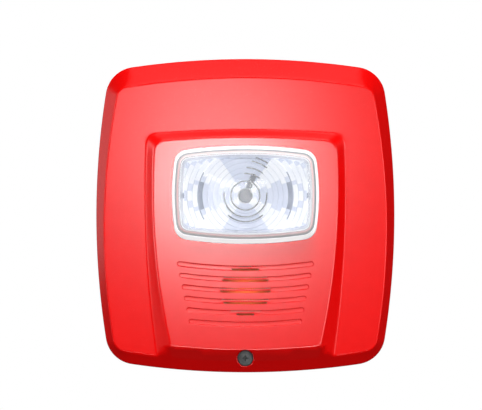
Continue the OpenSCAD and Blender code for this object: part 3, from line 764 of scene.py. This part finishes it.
# Outline, how far inside it, and how far in front of the flange's back
inner_side = [(DOME, 3.1, 13.6), (DOME, 2.9, 13.2), (DOME, 2.7, 12.3), (DOME, 1.9, 6.6),
              (DOME, 1.8, 6.2), (RIM, 1.9, 4.4), (RIM, 1.8, 0)]
outer_side = [(RIM, -FLANGE, 0), (RIM, -FLANGE, 1.8), (RIM, 0, 1.8), (RIM, 0, 5.8), (RIM, 0.12, 6.1),
              (RIM, 0.4, 6.2), (DOME, -0.6, 6.2), (DOME, 0, 6.2), (DOME, 0.05, 6.6), (DOME, 0.6, 12.7),
              (DOME, 0.8, 13.9), (DOME, 1.15, 14.7), (DOME, 1.7, 15.3), (DOME, OUTER_EDGE, 15.65)]
lens_rings = [window(INNER_EDGE, lens_front - LENS_WALL, share) for share in SHARES]
lens_rings += [at(line.ring(inset, like=RIM), lens_back + up)
               for line, inset, up in inner_side + outer_side]
lens_rings += [window(OUTER_EDGE, lens_front, share) for share in SHARES[::-1]]


def lens_zones(centres):
    """0 for the window, 1 for the walls and the rim, 2 for the painted shadow line in the step."""
    near = DOME.inside(centres[:, [0, 2]])
    line = ((np.abs(near + 0.25) < 0.35) & (centres[:, 1] > lens_back + 6)
            & (centres[:, 1] < lens_back + 7))
    return np.where(line, 2, np.where(near > 1.3, 0, 1))


make("lens_moulding", [loft(lens_rings)], "head", "clear_lens", ["lens"], 40,
     [finishes["clear_lens"], edge_lit, shadow_line], lens_zones)

# %% [markdown]
# ## Prisms in the window
#
# Fine ridges on the window's inner face bend the flash outwards. Each is a small triangular
# bar that follows an arc round the tube's axis. On the real lens they are part of the moulding.
# Here they are a piece of their own, set a hair into the face so that no gap shows, and coloured
# dark grey: a painted shade for the thin grey arcs that the clear ridges show from the front.

# %% Arc prisms
tube_x, tube_depth, tube_zs = node_box("flash_tube")
tube_z = (tube_zs[0] + tube_zs[1]) / 2
TUBE_R = tube_x[1]
PRISM_W, PRISM_DEEP, PRISM_SUNK = 0.56, 0.35, 0.03
FACE_HALF_X, FACE_HALF_Z = 26.05, 15.2
# Radius, and the angles between which each prism runs
ARCS = ((6.1, 0, 360), (9.0, 172, 368), (11.0, 228, 312), (9.4, 50, 93), (11.9, 52, 88),
        (14.8, 52, 80), (16.6, 55, 75))


def inner_face(x, z):
    """Depth of the window's bulging inner face."""
    share = max(abs(x) / FACE_HALF_X, abs(z - lens_mid) / FACE_HALF_Z)
    return lens_front - LENS_WALL - BULGE * share * share


def prism(radius, start, end):
    """A triangular bar on the window's inner face."""
    whole = end - start == 360
    t = np.radians(np.linspace(start, end, max(8, round((end - start) / 5)), endpoint=not whole))
    rows = []
    for angle in t:
        across, up = math.cos(angle), math.sin(angle)
        face = inner_face(radius * across, tube_z + radius * up) + PRISM_SUNK
        corners = ((radius - PRISM_W / 2, face), (radius + PRISM_W / 2, face),
                   (radius, face - PRISM_DEEP))
        rows.append(np.array([(r * across, d, tube_z + r * up) for r, d in corners]))
    return loft(rows, whole)


make("lens_prisms", [prism(*arc) for arc in ARCS], "head", "clear_lens", (), 20, [painted_prism_shade])

# %% [markdown]
# ## The reflector
#
# The reflector is moulded, then coated with aluminium in a vacuum. Its bowl is a parabola cut
# into narrow facets, which spread the flash instead of beaming it. The facets are rings round
# the tube, and each ring is held inside the reflector's own outline, where the side wall rises.

# %% The faceted bowl
mirror_x, mirror_d, _ = node_box("reflector")
MIRROR_TOP, MIRROR_LOW, MIRROR_FRONT = lens_mid + 16.55, lens_mid - 16.05, mirror_d[1]
MIRROR = Outline(mirror_x[1], MIRROR_TOP, MIRROR_LOW, 103, lens_mid, 180, 170, 4, 4)
HOLE_R, FACET, BOWL_R, BOWL_DEEP, BOWL_CURVE, RAYS = 3.3, 2.15, 20.4, 8.2, 0.0092, 144
STEP_W, RIDGE_W, STEP_RISE, FACETS_END, MIRROR_T = 0.12, 0.5, 0.22, 27, 1.0
ray_t = np.linspace(0, 2 * math.pi, RAYS, endpoint=False)
ray = np.column_stack([np.cos(ray_t), np.sin(ray_t)])


def reach(inset):
    """How far along each ray the reflector's outline is, by halving."""
    low, high = np.zeros(RAYS), np.full(RAYS, 40.0)
    for _ in range(30):
        middle = (low + high) / 2
        held = MIRROR.inside(ray * middle[:, None] + (0, tube_z)) > inset
        low, high = np.where(held, middle, low), np.where(held, high, middle)
    return low


def bowl_depth(r):
    return MIRROR_FRONT - BOWL_DEEP + BOWL_CURVE * r * r


def mirror_ring(r, depth):
    return at(ray * np.broadcast_to(r, RAYS)[:, None] + (0, tube_z), depth)


facets = [(HOLE_R, -0.1)]
for r in np.arange(HOLE_R + FACET, FACETS_END, FACET):
    step_w = RIDGE_W if abs(r - BOWL_R) < 0.2 else STEP_W
    facets += [(r - step_w, STEP_RISE), (r, -STEP_RISE)]
wall_in, wall_out, lip_in, lip_out = reach(0.9), reach(0.0), reach(-0.8), reach(-1.2)
bowl = []
for i, (r, lift) in enumerate(facets):
    kept = np.minimum(r, wall_in - 0.02 * (len(facets) - i))
    bowl.append(mirror_ring(kept, np.minimum(bowl_depth(kept) + lift, MIRROR_FRONT - 0.6)))
wall = [mirror_ring(lip_in, MIRROR_FRONT - 0.1), mirror_ring(lip_in + 0.1, MIRROR_FRONT),
        mirror_ring(lip_out - 0.1, MIRROR_FRONT), mirror_ring(lip_out, MIRROR_FRONT - 0.1),
        mirror_ring(lip_out, MIRROR_FRONT - 0.8), mirror_ring(wall_out, MIRROR_FRONT - 2.2)]
backs = []
for i, r in enumerate((24, 18, 12, 7, HOLE_R)):
    kept = np.minimum(r, wall_out - 0.1 - 0.1 * i)
    backs.append(mirror_ring(kept, np.minimum(bowl_depth(kept) - MIRROR_T, MIRROR_FRONT - 2.6)))
BOARD_D, LEG_R, LEG_X, LEG_TOP, AXIS = 18.6, 1.6, 12, 22.3, 0.02
leg = [(AXIS, BOARD_D), (LEG_R, BOARD_D), (LEG_R, LEG_TOP), (AXIS, LEG_TOP)]
legs = [lathe(x, lens_mid, leg, n=24) for x in (-LEG_X, LEG_X)]


# Painted reflection and shade: the facets are coloured by zone where the real mirror shows the bright
# and the dark parts of the room, and the steps between them get painted shade in grey
def painted_facet_zones(centres):
    """0 for the bright finish, 1 for a painted paler reflection, 2 for painted shade on the steps and
    the brow.
    """
    x, z = centres[:, 0], centres[:, 2] - tube_z
    r, angle = np.hypot(x, z), np.degrees(np.arctan2(np.abs(z), np.abs(x)))
    ring = np.floor((r - HOLE_R) / FACET)
    sector = np.floor(angle / 6) * 6 + 3
    wedge = np.abs(sector - 36 - 2 * (ring % 3)) > 15
    pale = np.where(r < BOWL_R, wedge, (ring + sector // 6) % 5 == 0)
    step = (r - HOLE_R) % FACET > FACET - 0.3
    shaded_brow = (ring == 7) & (sector < 20)
    return np.where(shaded_brow | step & ((r < BOWL_R - 1) | (sector < 32)), 2, np.where(pale, 1, 0))


make("reflector_bowl", [loft(bowl + wall + backs, True)] + legs, "head", "bright_reflector",
     ["reflector"], 12, [finishes["bright_reflector"], painted_pale_reflection, painted_mirror_shade], painted_facet_zones)

# %% [markdown]
# ## The flash tube and its leads
#
# The tube is a glass rod that faces the eye, closed by a crimped metal cap. Five turns of fine
# nickel wire round the glass start the flash. The current comes back through a thick sleeved
# lead, which leaves the cap, bends over and dives through the reflector to the board.

# %% Tube, cap, wire and lead
tube_back, tube_tip = tube_depth
glass = lathe(0, tube_z, [(AXIS, tube_back), (TUBE_R - 0.5, tube_back), (TUBE_R, tube_back + 0.5),
                          (TUBE_R, tube_tip - 0.3), (TUBE_R - 0.3, tube_tip), (AXIS, tube_tip)])
make("flash_tube_glass", [glass], "head", "tube_glass", ["flash_tube"])
_, cap_d, _ = node_box("tube_caps")
CAP_R, cap_back, cap_front = TUBE_R + 0.9, tube_tip - 2, cap_d[1]
SOCKET_R, CRIMP_R, PIN_R = TUBE_R + 0.05, CAP_R - 0.15, 0.5
cap = lathe(0, tube_z, [(AXIS, cap_front - 0.45), (0.7, cap_front - 0.42), (0.9, cap_front - 0.05),
                        (1.1, cap_front), (CAP_R - 0.5, cap_front - 0.05),
                        (CRIMP_R, cap_front - 0.2), (CAP_R, cap_front - 0.55),
                        (CAP_R, cap_back + 1.3), (CRIMP_R, cap_back + 1.1),
                        (CRIMP_R, cap_back + 0.8), (CAP_R, cap_back + 0.6), (CAP_R, cap_back),
                        (SOCKET_R, cap_back), (SOCKET_R, tube_tip), (AXIS, tube_tip)])
pin = lathe(0, tube_z, [(AXIS, cap_d[0]), (PIN_R - 0.15, cap_d[0]), (PIN_R, cap_d[0] + 0.2),
                        (PIN_R, tube_back), (AXIS, tube_back)], n=20)
make("flash_tube_cap", [cap, pin], "head", "nickel", ["tube_caps"])
_, coil_d, _ = node_box("trigger_wire")
TURNS, COIL_POINTS, WIRE_R, WIRE_GAP = 5, 200, 0.18, 0.2
turns = np.linspace(0, 2 * math.pi * TURNS, COIL_POINTS)
coil_r = TUBE_R + WIRE_GAP
coil = np.column_stack([coil_r * np.cos(turns),
                        np.linspace(coil_d[0] + WIRE_GAP, coil_d[1] - WIRE_GAP, COIL_POINTS),
                        tube_z + coil_r * np.sin(turns)])
make("trigger_coil", [sweep(coil, WIRE_R, 8)], "head", "nickel", ["trigger_wire"])
LEAD_R, LEAD_X, LEAD_UP = 1.2, 3.5, 8.1
lead_front = tube_tip + 0.6
# Across, depth behind the lead's front, and height over the tube's axis
bend = [(1.4, 0, 3.2), (2.0, 0.15, 5), (2.7, 0.5, 6.6), (3.2, 1.2, 7.6), (LEAD_X, 2.4, LEAD_UP),
        (LEAD_X, 4, LEAD_UP), (LEAD_X, lead_front - BOARD_D, LEAD_UP)]
bend = [(x, lead_front - behind, tube_z + up) for x, behind, up in bend]
make("return_lead_sleeve", [sweep(bend, LEAD_R, 20)], "head", "grey_sleeve", ["return_lead"], 60)

# %% [markdown]
# ## The captive screw
#
# One screw closes the case. Its pan head has a small cross recess, pressed in when the head was
# formed, and the thread is a true helix: the radius of each ring depends on both the angle and
# the depth. Behind the head the shank is necked for the washer that keeps the screw captive.

# %% Head, recess and thread
HEAD_H, PITCH, THREAD_DEEP, NECK_DEEP, TAPER, AROUND = 2.4, 0.794, 0.42, 0.35, 0.6, 96
CROSS_HALF, CROSS_REACH, CROSS_DEEP, CROSS_EDGE = 0.26, 1.2, 0.9, 0.15
head_d = screw_d[1]
seat = head_d - HEAD_H
_, keeper_d, _ = node_box("screw_retainer")


def head_ring(r):
    """A ring of the pan head's top, with the cross pressed into it."""
    ring = circle(0, screw_z, r, AROUND)
    x, z = np.abs(ring[:, 0]), np.abs(ring[:, 1] - screw_z)
    arm = np.maximum(np.minimum(x, z) - CROSS_HALF, np.maximum(x, z) - CROSS_REACH)
    pressed = np.clip(-arm / CROSS_EDGE, 0, 1) * (CROSS_DEEP - 0.35 * r)
    return at(ring, head_d - 0.045 * r * r - pressed)


def thread_ring(d):
    """A ring of the shank: thread all the way, apart from the neck that the washer sits in."""
    t = np.linspace(0, 2 * math.pi, AROUND, endpoint=False)
    wave = np.abs((d / PITCH - t / (2 * math.pi)) % 1 - 0.5) * 2
    r = SHANK_R - THREAD_DEEP * np.clip(wave * 1.2 - 0.1, 0, 1) - max(TAPER - (d - screw_d[0]), 0)
    if keeper_d[0] - 0.05 < d < keeper_d[1] + 0.05:
        r = SHANK_R - NECK_DEEP
    return at(np.column_stack([r * np.cos(t), screw_z + r * np.sin(t)]), d)


head = [head_ring(r) for r in np.arange(0.05, HEAD_R - 0.4, 0.13)]
head += [at(circle(0, screw_z, r, AROUND), head_d - down)
         for r, down in ((HEAD_R - 0.3, 0.55), (HEAD_R - 0.1, 0.85), (HEAD_R, 1.2), (HEAD_R, HEAD_H))]
shank = [thread_ring(d) for d in np.arange(seat, screw_d[0], -0.1)]
tip = [at(circle(0, screw_z, 0.6, AROUND), screw_d[0])]
make("captive_screw_turned", [loft(head + shank + tip)], "captive_screw", "dark_screw",
     ["captive_screw"], 30)

# %% [markdown]
# ## Floor
#
# The floor is a plain pale sheet below the object. The object neither mirrors it nor takes its
# colour, so the underside of the bevel stays a deep red.

# %% Floor
FLOOR_Z, FLOOR_HALF = -0.3, 3.0
paper = finish("pale_paper", "#F2F2F0", "#ECECEA", 0.7, 2.0, 0.01, IOR=1.45,
               **{"Emission Color": linear("#F2F2F0"), "Emission Strength": 0.45})
floor_mesh = bpy.data.meshes.new("floor")
floor_mesh.from_pydata(
    [(x * FLOOR_HALF, y * FLOOR_HALF, FLOOR_Z) for x, y in ((-1, -1), (1, -1), (1, 1), (-1, 1))],
    [], [(0, 1, 2, 3)])
floor_mesh.materials.append(paper)
floor = bpy.data.objects.new("floor", floor_mesh)
bpy.context.scene.collection.objects.link(floor)
floor.visible_glossy = floor.visible_diffuse = False
